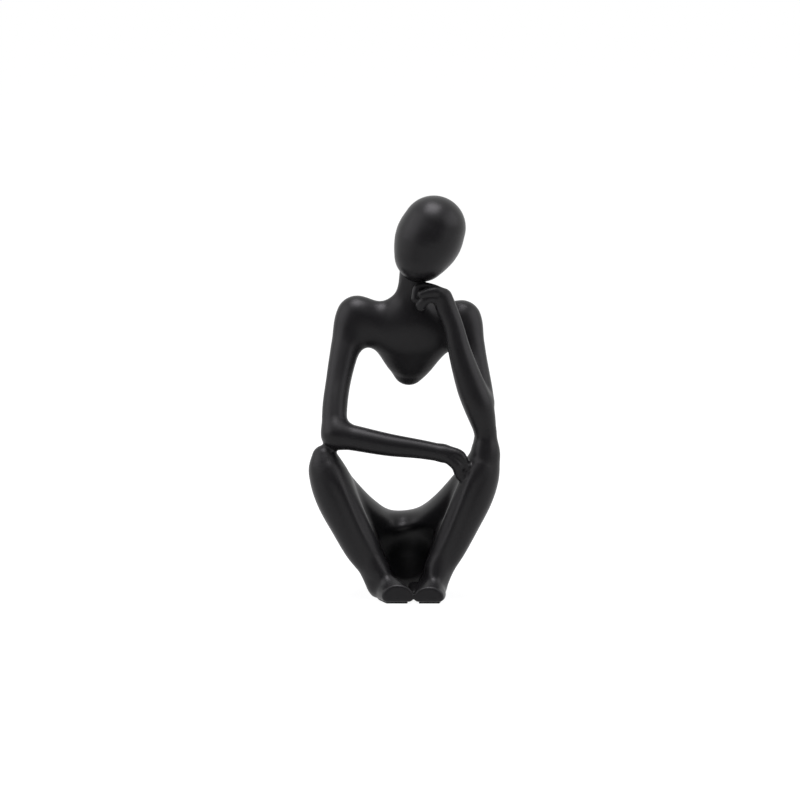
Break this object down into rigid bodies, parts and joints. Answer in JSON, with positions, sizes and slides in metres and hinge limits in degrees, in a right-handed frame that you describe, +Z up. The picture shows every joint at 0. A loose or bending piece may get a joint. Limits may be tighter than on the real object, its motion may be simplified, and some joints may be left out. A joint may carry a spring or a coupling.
{
  "type": "thinker sculpture",
  "caption": "Abstract seated thinker figure with a smooth egg-shaped head resting on one fist, knees drawn up, an open lap and flat felt-padded feet and seat.",
  "frame": {"origin": "on the ground under the middle of the figure's outline", "axes": "+Z up, the face looks along -Y, +X to the viewer's right"},
  "size_m": [0.0568, 0.0452, 0.1195],
  "materials": {
    "black_resin": "cast resin, sprayed satin black",
    "pin_steel": "plain drawn steel",
    "pad_felt": "thin black adhesive felt"
  },
  "bodies": {
    "root": {"head": "black_resin", "torso": "black_resin", "right_arm": "black_resin", "left_arm": "black_resin", "hips_and_thighs": "black_resin", "right_lower_leg": "black_resin", "left_lower_leg": "black_resin", "neck_pin": "pin_steel", "right_shoulder_pin": "pin_steel", "left_shoulder_pin": "pin_steel", "right_elbow_pin": "pin_steel", "left_elbow_pin": "pin_steel", "right_leg_pin": "pin_steel", "left_leg_pin": "pin_steel", "seat_pad": "pad_felt", "right_foot_pad": "pad_felt", "left_foot_pad": "pad_felt"}
  },
  "joints": []
}
